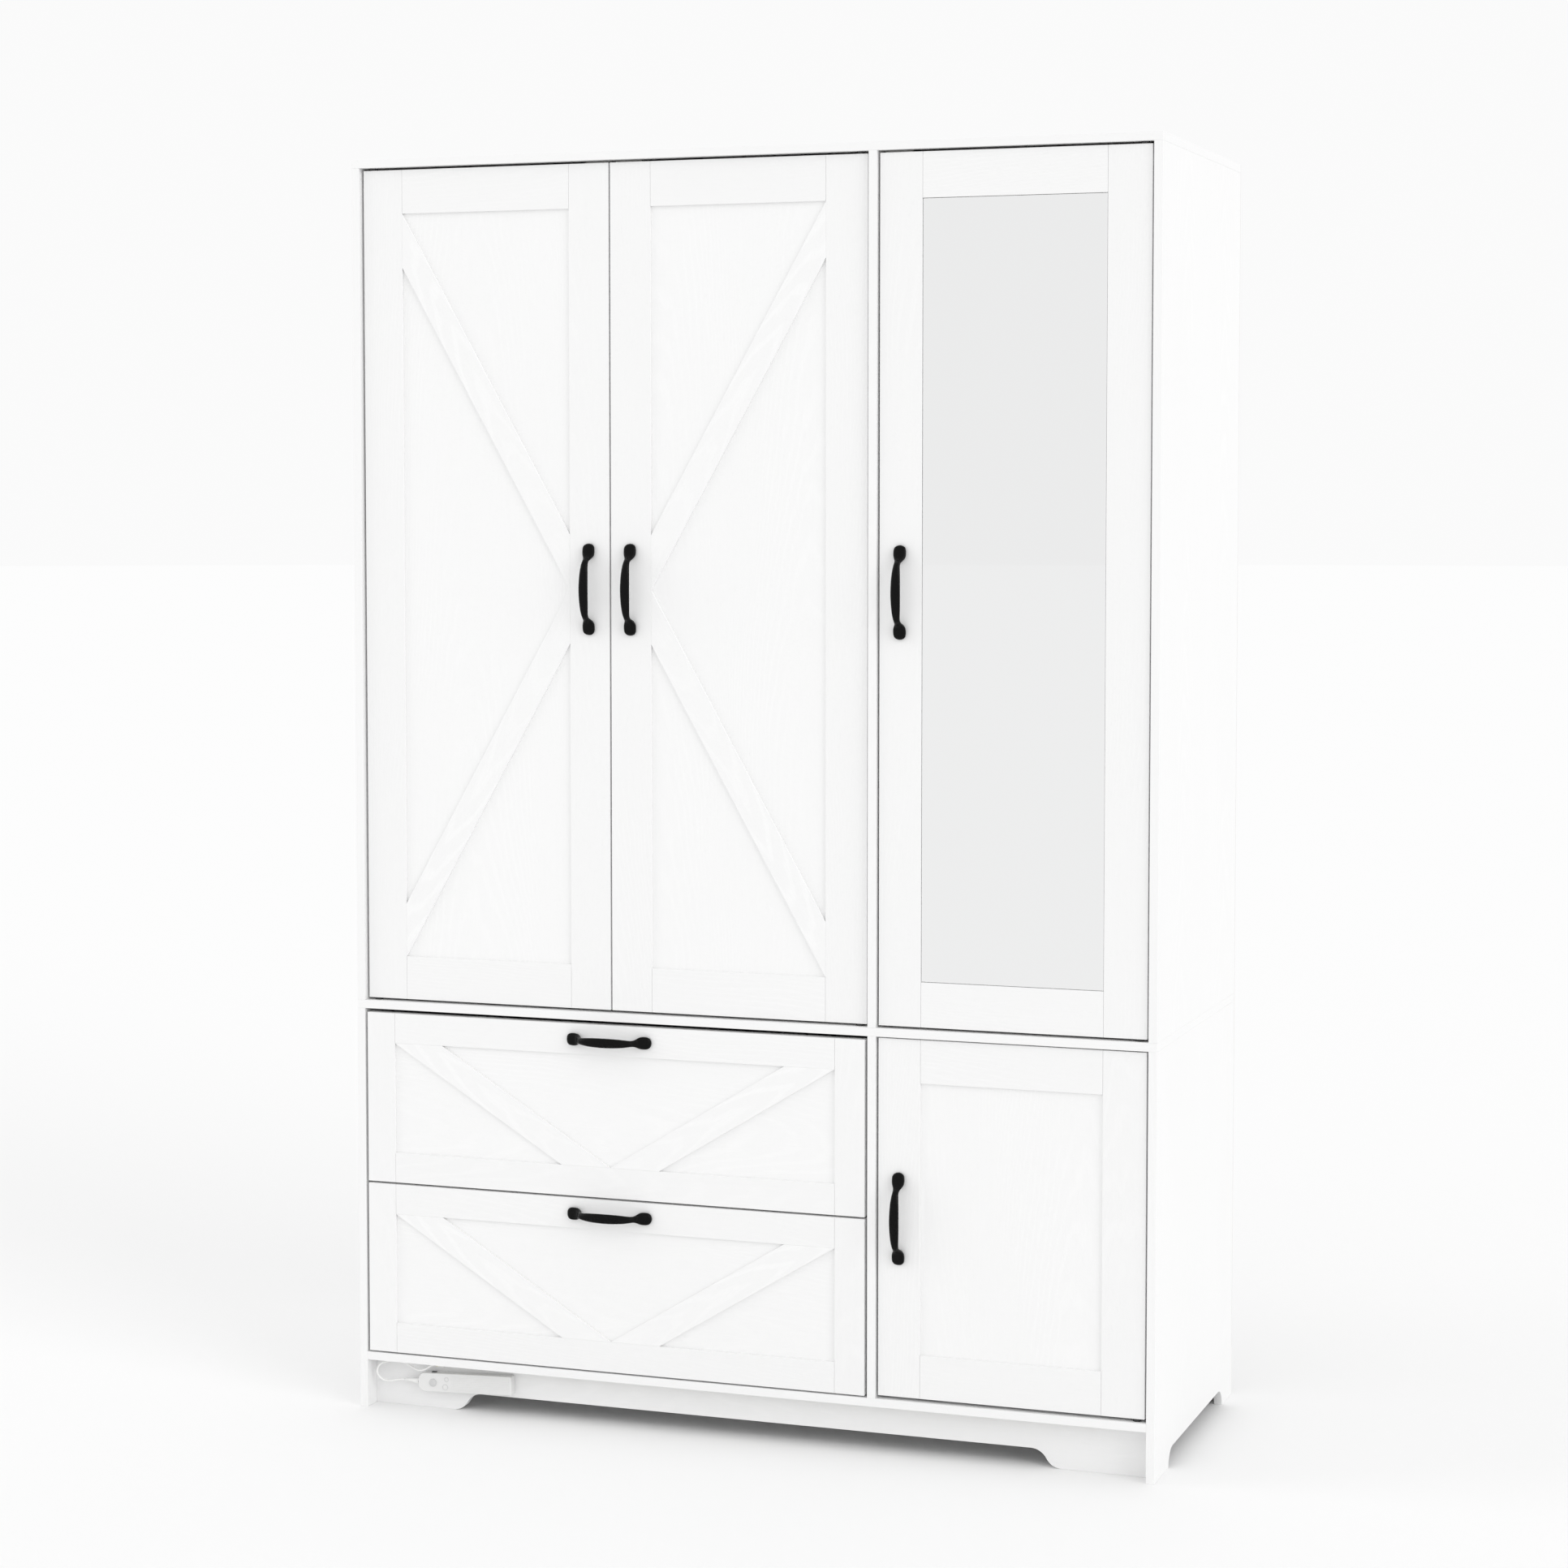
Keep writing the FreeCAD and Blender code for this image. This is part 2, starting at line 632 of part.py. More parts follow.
def add_slides(name, z_mid):
    """Case channels and, nested in them with a running clearance, the drawer's channels."""
    inner_height = slide_height - 2 * (slide_sheet + slide_running_clearance)
    for case_face, box_face, way in ((inner_left, box_x0, 1), (divider_left, box_x1, -1)):
        add("case_slides", channel(case_face, way, slide_height, z_mid))
        add(name + "_fittings", channel(box_face, -way, inner_height, z_mid))


lower_drawer_z0 = bottom_top + drawer_bottom_gap
add_drawer("drawer_upper", lower_drawer_z0 + drawer_height + drawer_between_gap)
add_drawer("drawer_lower", lower_drawer_z0)

# ---- wall bracket -------------------------------------------------------------------------
bracket_x = (inner_left + divider_left) / 2
bracket = box(bracket_x - bracket_width / 2, bracket_x + bracket_width / 2,
              rear - bracket_sheet, rear, top_low - bracket_leg, top_low)
bracket = bracket.fuse(box(bracket_x - bracket_width / 2, bracket_x + bracket_width / 2,
                           rear - bracket_leg, rear, top_low - bracket_sheet, top_low))
wall_holes = []
for s in (-bracket_hole_spacing / 2, bracket_hole_spacing / 2):
    wall_holes.append(rod(vec(bracket_x + s, rear - bracket_sheet, top_low - bracket_hole_drop),
                          Y_AXIS, bracket_hole_radius, bracket_sheet + back_thickness))
add("wall_bracket", bracket.removeSplitter().cut(wall_holes))
cut_node("back_panels", wall_holes)

# ---- motion-sensor light ------------------------------------------------------------------
sensor_x0 = inner_left + sensor_left
sensor_x1 = sensor_x0 + sensor_length
sensor_front = apron_y - sensor_depth
sensor_z0 = sensor_rise - sensor_height / 2
sensor_z1 = sensor_rise + sensor_height / 2
tilt_centre = vec((sensor_x0 + sensor_x1) / 2, apron_y, sensor_rise)


def tilted(solid):
    turned = solid.copy()
    turned.rotate(tilt_centre, Y_AXIS, -sensor_tilt)
    return turned


housing = box(sensor_x0, sensor_x1, sensor_front, apron_y, sensor_z0, sensor_z1)
left_edges = [edge for edge in housing.Edges
              if edge.BoundBox.XMax < sensor_x0 + 0.1 and edge.BoundBox.YLength > sensor_depth - 0.1]
housing = housing.makeFillet(sensor_end_radius, left_edges)
lens_x = sensor_x0 + lens_from_end
lens_well = rod(vec(lens_x, sensor_front, sensor_rise), Y_AXIS, lens_radius, lens_height)
switch_x = sensor_x0 + switch_from_end
switch_y = sensor_front + sensor_depth / 2
switch_slot = box(switch_x - switch_width / 2 - 0.3, switch_x + switch_width / 2 + switch_travel + 0.3,
                  switch_y - switch_thickness / 2 - 0.3, switch_y + switch_thickness / 2 + 0.3,
                  sensor_z1 - 2.0, sensor_z1)
add("sensor_housing", tilted(housing.cut([lens_well, switch_slot])))
lens = rod(vec(lens_x, sensor_front + lens_height, sensor_rise), Y_AXIS * -1, lens_radius,
           lens_height)
dome = Part.makeSphere(lens_radius, vec(lens_x, sensor_front, sensor_rise), Y_AXIS * -1, 0, 90, 360)
flatten = FreeCAD.Matrix()
flatten.scale(vec(1, 0.35, 1))
dome.translate(vec(0, -sensor_front, 0))
dome = dome.transformGeometry(flatten)
dome.translate(vec(0, sensor_front, 0))
add("sensor_lens", tilted(lens.fuse(dome)))
add("sensor_switch", tilted(box(switch_x - switch_width / 2, switch_x + switch_width / 2,
                                switch_y - switch_thickness / 2, switch_y + switch_thickness / 2,
                                sensor_z1 - 1.7, sensor_z1 - 1.7 + switch_height)))

plug_y = apron_y - sensor_depth / 2
plug_z = sensor_rise - math.sin(math.radians(sensor_tilt)) * sensor_length / 2
plug_right = tilted(Part.Vertex(sensor_x0, plug_y, sensor_rise)).Point.x - plug_gap
plug_left = plug_right - plug_length
collar = rod(vec(plug_right, plug_y, plug_z), X_AXIS * -1, plug_radius + 0.6, plug_collar)
taper = Part.makeCone(plug_radius, cord_radius + 0.4, plug_length - plug_collar,
                      vec(plug_right - plug_collar, plug_y, plug_z), X_AXIS * -1)
add("cord_plug", collar.fuse(taper).removeSplitter())

# the light strip under the bottom panel, with the solder cap that takes the cord
strip_x0 = inner_left + strip_light_left
strip_y0 = front + strip_light_setback
cap_mid_y = strip_y0 + strip_light_width / 2
cap = box(strip_x0, strip_x0 + strip_cap_length, cap_mid_y - strip_cap_width / 2,
          cap_mid_y + strip_cap_width / 2, base_height - strip_cap_height, base_height)
tape = box(strip_x0 + strip_cap_length, inner_right - strip_light_right, strip_y0,
           strip_y0 + strip_light_width, base_height - strip_light_height, base_height)
add("light_strip", cap.fuse(tape).removeSplitter())

# the cord: from the plug it loops up under the bottom panel, sags once and meets the solder cap
cord_height = base_height - strip_cap_height / 2
cord_points = [
    vec(plug_left, plug_y, plug_z),
    vec(left + 50, plug_y - 1.0, plug_z - 0.6),
    vec(left + 38, front + 18.5, 35.8),
    vec(left + 27, front + 14.0, 39.6),
    vec(left + 20.8, front + 11.5, 49.5),
    vec(left + 23.5, front + 11.5, 60.5),
    vec(left + 34, front + 13.5, 67.0),
    vec(left + 50, front + 15.5, 68.2),
    vec(left + 66, front + 16.5, 67.4),
    vec(left + 78, front + 16.0, 60.4),
    vec(left + 90, front + 15.5, 56.6),
    vec(left + 101, front + 15.7, 61.2),
    vec(left + 109, front + 16.0, 67.4),
    vec(strip_x0, cap_mid_y, cord_height),
]


def cord_path(points):
    """Straight runs joined by tangent arcs, each as large as its two runs allow."""
    edges = []
    reached = points[0]
    for before, corner, after in zip(points, points[1:], points[2:]):
        run_in = corner - before
        run_out = after - corner
        shorter = min(run_in.Length, run_out.Length)
        back_off = 0.45 * shorter
        way_in = run_in.normalize()
        way_out = run_out.normalize()
        turn = way_in.getAngle(way_out)
        start = corner - way_in * back_off
        end = corner + way_out * back_off
        radius = back_off / math.tan(turn / 2)
        to_centre = (way_out - way_in).normalize()
        middle = corner + to_centre * (radius / math.cos(turn / 2) - radius)
        edges.append(line(reached, start))
        edges.append(arc(start, middle, end))
        print("cord turn %5.1f deg, radius %5.1f" % (math.degrees(turn), radius))
        reached = end
    edges.append(line(reached, points[-1]))
    return Part.Wire(edges)


path = cord_path(cord_points)
start_way = (cord_points[1] - cord_points[0]).normalize()
section = Part.Wire(Part.makeCircle(cord_radius, cord_points[0], start_way))
cord = path.makePipeShell([section], True, False)
print("cord length %.1f, volume ratio %.4f"
      % (path.Length, cord.Volume / (math.pi * cord_radius ** 2 * path.Length)))
add("cord", cord)

# ---- files --------------------------------------------------------------------------------
os.makedirs("parts", exist_ok=True)
for node, solids in sheet.items():
    shape = solids[0] if len(solids) == 1 else Part.makeCompound(solids)
    shape.exportStep("parts/" + node + ".step")
print(len(sheet), "nodes,", sum(len(s) for s in sheet.values()), "solids")
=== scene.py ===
import bpy
import bmesh
import math
from mathutils import Matrix, Vector


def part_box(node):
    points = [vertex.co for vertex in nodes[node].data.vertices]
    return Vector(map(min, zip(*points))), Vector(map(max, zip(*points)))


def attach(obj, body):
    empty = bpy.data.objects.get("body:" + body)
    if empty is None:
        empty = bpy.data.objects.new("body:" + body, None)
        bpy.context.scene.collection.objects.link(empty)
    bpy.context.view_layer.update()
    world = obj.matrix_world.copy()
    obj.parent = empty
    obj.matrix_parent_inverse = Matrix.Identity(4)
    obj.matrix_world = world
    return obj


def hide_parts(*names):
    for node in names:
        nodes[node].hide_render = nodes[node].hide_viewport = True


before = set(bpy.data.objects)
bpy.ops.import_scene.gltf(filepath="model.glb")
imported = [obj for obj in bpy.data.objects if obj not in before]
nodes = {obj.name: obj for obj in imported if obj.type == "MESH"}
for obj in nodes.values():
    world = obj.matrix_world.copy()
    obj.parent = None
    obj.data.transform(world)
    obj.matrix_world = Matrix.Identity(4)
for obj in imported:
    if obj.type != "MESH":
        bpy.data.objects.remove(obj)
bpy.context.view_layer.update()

MM = 0.001
ROUND_ON = math.radians(40)         # edges sharper than this are rounded


# ---- node shorthand ---------------------------------------------------------------------
class Shader:
    """One material's node tree, built with short calls."""

    def __init__(self, name):
        self.material = bpy.data.materials.new(name)
        self.material.use_nodes = True
        self.tree = self.material.node_tree
        self.tree.nodes.clear()
        self.bsdf = self.node("BsdfPrincipled")
        output = self.node("OutputMaterial")
        self.link(self.bsdf.outputs[0], output.inputs["Surface"])

    def node(self, kind, **settings):
        made = self.tree.nodes.new("ShaderNode" + kind)
        for key, value in settings.items():
            setattr(made, key, value)
        return made

    def link(self, source, target):
        self.tree.links.new(source, target)

    def feed(self, node, values):
        """Sets or links each of a node's inputs, by name or number."""
        for key, value in values.items():
            if isinstance(value, bpy.types.NodeSocket):
                self.link(value, node.inputs[key])
            else:
                node.inputs[key].default_value = value
        return node

    def surface(self, **values):
        """Shader inputs; an underscore in a name stands for a space."""
        self.feed(self.bsdf, {key.replace("_", " "): value for key, value in values.items()})

    def math(self, operation, a, b=0.0, c=0.0):
        node = self.node("Math", operation=operation)
        return self.feed(node, {0: a, 1: b, 2: c}).outputs[0]

    def scaled(self, vector, factors, offset=(0, 0, 0)):
        node = self.node("VectorMath", operation="MULTIPLY_ADD")
        return self.feed(node, {0: vector, 1: factors, 2: offset}).outputs[0]

    def noise(self, vector, scale, detail):
        node = self.node("TexNoise")
        return self.feed(node, {"Vector": vector, "Scale": scale, "Detail": detail,
                                "Roughness": 0.55}).outputs[0]

    def step(self, value, low, high, to_low=0.0, to_high=1.0):
        """Smooth ramp from to_low at low to to_high at high."""
        node = self.node("MapRange", interpolation_type="SMOOTHSTEP")
        return self.feed(node, {"Value": value, "From Min": low, "From Max": high,
                                "To Min": to_low, "To Max": to_high}).outputs[0]

    def blend(self, factor, a, b):
        node = self.node("Mix", data_type="RGBA")
        return self.feed(node, {"Factor": factor, 6: (*a, 1) if isinstance(a, tuple) else a,
                                7: (*b, 1) if isinstance(b, tuple) else b}).outputs[2]

    def bump(self, height, distance, strength):
        node = self.node("Bump")
        return self.feed(node, {"Height": height, "Distance": distance,
                                "Strength": strength}).outputs[0]

    def place(self):
        return self.node("TexCoord").outputs["Object"]


# ---- materials ----------------------------------------------------------------------------
WHITE = (0.905, 0.905, 0.904)
INNER_WHITE = (0.865, 0.865, 0.862)
# painted light and shade: the door and drawer panels are painted lighter than the case to lift the
# shade in their recesses, and their frames are painted darker as painted shade
PANEL_WHITE_PAINTED_LIGHT = (0.912, 0.912, 0.911)
FRAME_WHITE_PAINTED_SHADE = (0.896, 0.896, 0.895)
X = Vector((1, 0, 0))
Y = Vector((0, 1, 0))
Z = Vector((0, 0, 1))


def laminate(name, along, white=WHITE, depth=1.0, heart=None):
    """White laminate with an embossed wood grain along one direction, its grain lines painted
    lighter than the board as a painted sheen where the emboss catches the light.

    heart is a point that the arches of the grain are centred on; without it every board gets
    its own place in the pattern."""
    s = Shader(name)
    turn = along.normalized().rotation_difference(Z).to_euler()
    place = s.place()
    if heart is not None:
        place = s.scaled(place, (1, 1, 1), tuple(-heart))
    grain = s.feed(s.node("Mapping"), {"Vector": place, "Rotation": turn}).outputs[0]
    sway = 0.03
    faintest = 0.5
    steepness = -2200.0
    strength = 0.95
    if heart is None:
        chance = s.node("ObjectInfo").outputs["Random"]
        drift = s.feed(s.node("CombineXYZ"), {0: s.math("MULTIPLY", chance, 1.7),
                                              1: s.math("MULTIPLY", chance, 0.9),
                                              2: s.math("MULTIPLY", chance, 5.3)})
        moved = s.node("VectorMath", operation="ADD")
        grain = s.feed(moved, {0: grain, 1: drift.outputs[0]}).outputs[0]
        sway = 0.11
        faintest = 0.0
        steepness = 900.0
        strength = 0.45
    split = s.feed(s.node("SeparateXYZ"), {0: grain})
    # cathedral flames: nested arches down the middle of the board, straight lines at its sides
    middle_spacing = 0.13
    bend = s.noise(s.scaled(grain, (2.5, 2.5, 1.1)), 1.0, 2.0)
    across = s.math("ADD", split.outputs[0], split.outputs[1])
    across = s.math("MULTIPLY_ADD", s.math("SUBTRACT", bend, 0.5), sway, across)
    folded = s.math("PINGPONG", across, middle_spacing)
    arch = s.math("MULTIPLY", s.math("POWER", folded, 2.0), steepness)
    wobble = s.noise(s.scaled(grain, (26.0, 26.0, 5.0)), 1.0, 2.0)
    rings_per_metre = 13.0
    phase = s.math("MULTIPLY_ADD", split.outputs[2], rings_per_metre, arch)
    phase = s.math("MULTIPLY_ADD", wobble, 2.6, phase)
    wave = s.math("SINE", s.math("MULTIPLY", phase, 2 * math.pi))
    lines = s.step(wave, 0.0, 0.95)
    patchy = s.step(s.noise(s.scaled(grain, (9.0, 9.0, 2.2), (3, 1, 7)), 1.0, 2.0),
                    0.38, 0.62, faintest)
    broken = s.step(s.noise(s.scaled(grain, (900.0, 900.0, 60.0)), 1.0, 1.0), 0.35, 0.6)
    flames = s.math("MULTIPLY", s.math("MULTIPLY", lines, patchy),
                    s.math("MULTIPLY_ADD", broken, 0.6, 0.4))
    # pores and fibres
    pores = s.step(s.noise(s.scaled(grain, (1150.0, 1150.0, 38.0)), 1.0, 2.0), 0.56, 0.72)
    fibres = s.noise(s.scaled(grain, (420.0, 420.0, 7.0)), 1.0, 3.0)
    cloud = s.noise(s.scaled(grain, (3.0, 3.0, 1.0)), 1.0, 3.0)
    # wood grain, its lines painted lighter than the board as a painted sheen where the embossed
    # lines catch the light
    grain_sheen = s.math("ADD", s.math("MULTIPLY", pores, 0.35), s.math("MULTIPLY", flames, strength))
    grain_sheen = s.math("MULTIPLY_ADD", s.math("SUBTRACT", fibres, 0.3), 0.5, grain_sheen)
    dull = tuple(channel * 0.965 for channel in white)
    tone = s.blend(grain_sheen, dull, white)
    shade = s.blend(s.step(cloud, 0.35, 0.7, 0.0, 0.3), (1.0, 1.0, 1.0), (0.98, 0.98, 0.98))
    mixed = s.node("Mix", data_type="RGBA", blend_type="MULTIPLY")
    colour = s.feed(mixed, {"Factor": 1.0, 6: tone, 7: shade}).outputs[2]
    height = s.math("ADD", s.math("MULTIPLY", pores, -0.8), s.math("MULTIPLY", flames, -0.7))
    height = s.math("MULTIPLY_ADD", fibres, 0.5, height)
    s.surface(Base_Color=colour, Roughness=s.step(grain_sheen, 0.1, 0.9, 0.54, 0.40),
              Normal=s.bump(height, 0.0001 * depth, 0.8))
    s.bsdf.inputs["Specular IOR Level"].default_value = 0.4
    return s.material


def hardboard():
    """Painted hardboard: smooth, with the faint cloud and specks of its fibres."""
    s = Shader("painted_hardboard")
    here = s.place()
    specks = s.step(s.noise(here, 900.0, 2.0), 0.62, 0.75)
    cloud = s.noise(here, 7.0, 4.0)
    colour = s.blend(s.math("ADD", s.math("MULTIPLY", specks, 0.35), s.step(cloud, 0.3, 0.75)),
                     (0.80, 0.80, 0.795), (0.775, 0.775, 0.768))
    s.surface(Base_Color=colour, Roughness=s.step(cloud, 0.3, 0.7, 0.5, 0.62),
              Normal=s.bump(s.noise(here, 480.0, 3.0), 0.00008, 0.6))
    return s.material


def black_cast():
    """Satin black powder coat over a cast pull, with a painted highlight that makes its sharp
    ridges a little brighter.
    """
    s = Shader("black_cast")
    here = s.place()
    grit = s.noise(here, 2600.0, 2.0)
    cloud = s.noise(here, 60.0, 3.0)
    # painted highlight: the colour is lightened where the pull's ridges are sharpest
    ridge_highlight = s.step(s.node("NewGeometry").outputs["Pointiness"], 0.52, 0.60)
    colour = s.blend(s.math("MULTIPLY", ridge_highlight, 0.6), (0.002, 0.002, 0.002),
                     (0.03, 0.03, 0.03))
    s.surface(Base_Color=colour, Roughness=s.step(cloud, 0.3, 0.7, 0.24, 0.36),
              Normal=s.bump(grit, 0.00006, 0.7))
    s.bsdf.inputs["Specular IOR Level"].default_value = 0.11
    return s.material


def silvered():
    """Mirror with the faintest unevenness of float glass."""
    s = Shader("silvered_mirror")
    wave = s.noise(s.place(), 2.2, 1.0)
    s.surface(Base_Color=s.blend(wave, (0.864, 0.866, 0.866), (0.870, 0.872, 0.872)),
              Roughness=s.step(wave, 0.2, 0.8, 0.012, 0.02))
    s.bsdf.inputs["Metallic"].default_value = 1.0
    return s.material


def metal(name, light, dark, rough):
    """Bare or plated metal, finely brushed along X, with a little tarnish."""
    s = Shader(name)
    here = s.place()
    lines = s.noise(s.scaled(here, (40.0, 900.0, 900.0)), 1.0, 3.0)
    cloud = s.noise(here, 45.0, 3.0)
    s.surface(Base_Color=s.blend(cloud, light, dark),
              Roughness=s.step(lines, 0.3, 0.7, rough * 0.8, rough * 1.25),
              Normal=s.bump(lines, 0.00003, 0.5))
    s.bsdf.inputs["Metallic"].default_value = 1.0
    return s.material


def plastic(name, light, dark, rough, grain=1500.0, depth=0.00004, coat=0.0):
    """Moulded plastic with a fine spark-eroded grain."""
    s = Shader(name)
    here = s.place()
    texture = s.noise(here, grain, 2.0)
    cloud = s.noise(here, 30.0, 2.0)
    s.surface(Base_Color=s.blend(cloud, light, dark),
              Roughness=s.step(cloud, 0.3, 0.7, rough * 0.9, rough * 1.15),
              Normal=s.bump(texture, depth, 0.6))
    s.bsdf.inputs["Coat Weight"].default_value = coat
    return s.material


def light_tape():
    """Flexible white tape with a yellowish light chip every 16.6 mm."""
    s = Shader("light_tape")
    split = s.feed(s.node("SeparateXYZ"), {0: s.place()})
    from_chip = s.math("PINGPONG", split.outputs[0], 8.3 * MM)
    chip = s.step(from_chip, 2.2 * MM, 2.5 * MM, 1.0, 0.0)
    colour = s.blend(chip, (0.80, 0.80, 0.78), (0.84, 0.81, 0.64))
    s.surface(Base_Color=colour, Roughness=s.step(chip, 0.0, 1.0, 0.5, 0.25))
    return s.material


WAYS = {"x": X, "y": Y, "z": Z}
GRAINED = {key: laminate("laminate_" + key, way) for key, way in WAYS.items()}
# lit and shaded copies of the laminate: the panels carry painted light, the frames painted shade
PANELS_PAINTED_LIGHT = {key: laminate("laminate_panel_painted_light_" + key, way, PANEL_WHITE_PAINTED_LIGHT)
          for key, way in WAYS.items() if key != "y"}
FRAMES_PAINTED_SHADE = {key: laminate("laminate_frame_painted_shade_" + key, way, FRAME_WHITE_PAINTED_SHADE)
          for key, way in WAYS.items() if key != "y"}
INNER = {key: laminate("laminate_inner_" + key, way, INNER_WHITE, 0.7)
         for key, way in WAYS.items()}
HARDBOARD = hardboard()
BLACK = black_cast()
MIRROR = silvered()
CHROME = metal("chrome", (0.80, 0.80, 0.82), (0.74, 0.74, 0.76), 0.10)
ZINC = metal("zinc", (0.62, 0.62, 0.63), (0.50, 0.50, 0.51), 0.34)
NYLON = plastic("nylon", (0.78, 0.78, 0.75), (0.72, 0.72, 0.69), 0.45)
GLOSS = plastic("gloss_white", (0.80, 0.80, 0.795), (0.77, 0.77, 0.765), 0.30, coat=0.25)
# painted shade: a darker grey for the sensor's white rings, standing in for the shading of their
# outlines
RING_PAINTED_SHADE = plastic("ring_painted_shade", (0.70, 0.70, 0.70), (0.65, 0.65, 0.65), 0.35)
LENS = plastic("milky_lens", (0.65, 0.65, 0.65), (0.58, 0.58, 0.58), 0.28, 900.0, 0.00006, 0.2)
BLACK_PLASTIC = plastic("black_plastic", (0.016, 0.016, 0.017), (0.028, 0.028, 0.028), 0.42)
PVC = plastic("white_pvc", (0.90, 0.90, 0.89), (0.86, 0.86, 0.85), 0.40, 700.0, 0.00005)
TAPE = light_tape()


def paint(thing, material):
    thing.data.materials.clear()
    thing.data.materials.append(material)


# ---- CAD boards that stay -----------------------------------------------------------------
def soften(thing, width, segments=3):
    """Small round on every sharp edge."""
    bevel = thing.modifiers.new("arris", "BEVEL")
    bevel.width = width
    bevel.segments = segments
    bevel.limit_method = "ANGLE"
    bevel.angle_limit = ROUND_ON
    bevel.use_clamp_overlap = False
    bevel.harden_normals = False


def round_node(node, width, segments=3):
    """The same on a CAD node, whose faces are first joined up and freed of inner edges."""
    thing = nodes[node]
    thing.modifiers.new("join", "WELD").merge_threshold = 1e-5
    flat = thing.modifiers.new("flat", "DECIMATE")
    flat.decimate_type = "DISSOLVE"
    flat.angle_limit = math.radians(0.5)
    soften(thing, width, segments)


PANEL_ARRIS = 0.4 * MM
KEPT = {
    "x": ("top_panel", "middle_panel", "bottom_panel", "front_apron", "rear_apron", "hat_shelf",
          "drawer_upper_panel", "drawer_lower_panel"),
    "z": ("upper_side_left", "upper_side_right", "lower_side_left", "lower_side_right",
          "upper_divider", "lower_divider", "door_left_panel", "door_right_panel",
          "door_mirror_panel", "door_small_panel"),
}
for axis, names in KEPT.items():
    for name in names:
        on_front = name.endswith("_panel") and name.startswith(("door", "drawer"))
        paint(nodes[name], PANELS_PAINTED_LIGHT[axis] if on_front else GRAINED[axis])
        round_node(name, PANEL_ARRIS)
paint(nodes["adjustable_shelves"], INNER["x"])
round_node("adjustable_shelves", 0.5 * MM)

FITTED = {
    "mirror_glass": MIRROR, "hanging_rod": CHROME, "rod_flanges": CHROME,
    "wall_bracket": ZINC, "case_slides": ZINC, "shelf_pins": ZINC,
    "pivot_bushes": BLACK_PLASTIC, "door_catches": NYLON, "light_strip": TAPE,
    "back_panels": HARDBOARD, "drawer_upper_bottom": HARDBOARD,
    "drawer_lower_bottom": HARDBOARD, "sensor_switch": BLACK_PLASTIC,
}
for name, material in FITTED.items():
    paint(nodes[name], material)
for name in nodes:
    if name.endswith("_fittings"):
        paint(nodes[name], ZINC)
round_node("mirror_glass", 0.7 * MM, 2)
round_node("door_catches", 0.6 * MM, 2)
round_node("sensor_switch", 0.3 * MM, 2)


# ---- boards modelled one by one -----------------------------------------------------------
def board(name, corners, body, material, arris):
    """Board with the eight corners given and its edges rounded."""
    shape = bmesh.new()
    for corner in corners:
        shape.verts.new(corner)
    bmesh.ops.convex_hull(shape, input=shape.verts)
    bmesh.ops.dissolve_limit(shape, angle_limit=math.radians(1), verts=shape.verts,
                             edges=shape.edges)
    bmesh.ops.recalc_face_normals(shape, faces=shape.faces)
    mesh = bpy.data.meshes.new(name)
    shape.to_mesh(mesh)
    shape.free()
    piece = bpy.data.objects.new(name, mesh)
    bpy.context.collection.objects.link(piece)
    paint(piece, material)
    soften(piece, arris)
    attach(piece, body)
    return piece


def box_corners(x0, x1, y0, y1, z0, z1):
    return [(x, y, z) for x in (x0, x1) for y in (y0, y1) for z in (z0, z1)]


def face_corners(outline, y0, y1):
    """Corners of a board with an X-Z outline, between two depths."""
    return [(x, y, z) for x, z in outline for y in (y0, y1)]


STRIP_ARRIS = 0.4 * MM
JOINT_LINE = 0.25 * MM
STILE = 61 * MM
DRAWER_FRAME = 44 * MM
DOOR_BRACE_CUT = 77.5 * MM
DRAWER_BRACE_CUT = 75.5 * MM
RAILS = {"door_left": 63 * MM, "door_right": 63 * MM, "door_mirror": 63 * MM,
         "door_small": 61 * MM, "drawer_upper": DRAWER_FRAME, "drawer_lower": DRAWER_FRAME}
FRONTS = tuple(RAILS)


def frame_boards(front):
    """Two stiles and, between them, two rails with a hairline joint at each end.

    Returns the boards, and the field inside them with its depths."""
    (x0, y0, z0), (x1, y1, z1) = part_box(front + "_frame")
    stile = DRAWER_FRAME if front.startswith("drawer") else STILE
    rail = RAILS[front]
    left, right = x0 + stile + JOINT_LINE, x1 - stile - JOINT_LINE
    pieces = [
        board(front + "_stile_left", box_corners(x0, x0 + stile, y0, y1, z0, z1), front,
              FRAMES_PAINTED_SHADE["z"], STRIP_ARRIS),
        board(front + "_stile_right", box_corners(x1 - stile, x1, y0, y1, z0, z1), front,
              FRAMES_PAINTED_SHADE["z"], STRIP_ARRIS),
        board(front + "_rail_top", box_corners(left, right, y0, y1, z1 - rail, z1),
              front, FRAMES_PAINTED_SHADE["x"], STRIP_ARRIS),
        board(front + "_rail_low", box_corners(left, right, y0, y1, z0, z0 + rail),
              front, FRAMES_PAINTED_SHADE["x"], STRIP_ARRIS),
    ]
    return pieces, (x0 + stile, x1 - stile, y0, y1, z0 + rail, z1 - rail)


def brace_board(name, outline, depths, body):
    """Brace with the X-Z outline given, its grain along its longest edge."""
    edges = [Vector((b[0] - a[0], 0, b[1] - a[1]))
             for a, b in zip(outline, outline[1:] + outline[:1])]
    longest = max(edges, key=lambda edge: round(edge.length, 5))
    middle = sum((Vector((x, depths[0], z)) for x, z in outline), Vector()) / len(outline)
    material = laminate("laminate_" + name, longest, heart=middle)
    return board(name, face_corners(outline, *depths), body, material, STRIP_ARRIS)


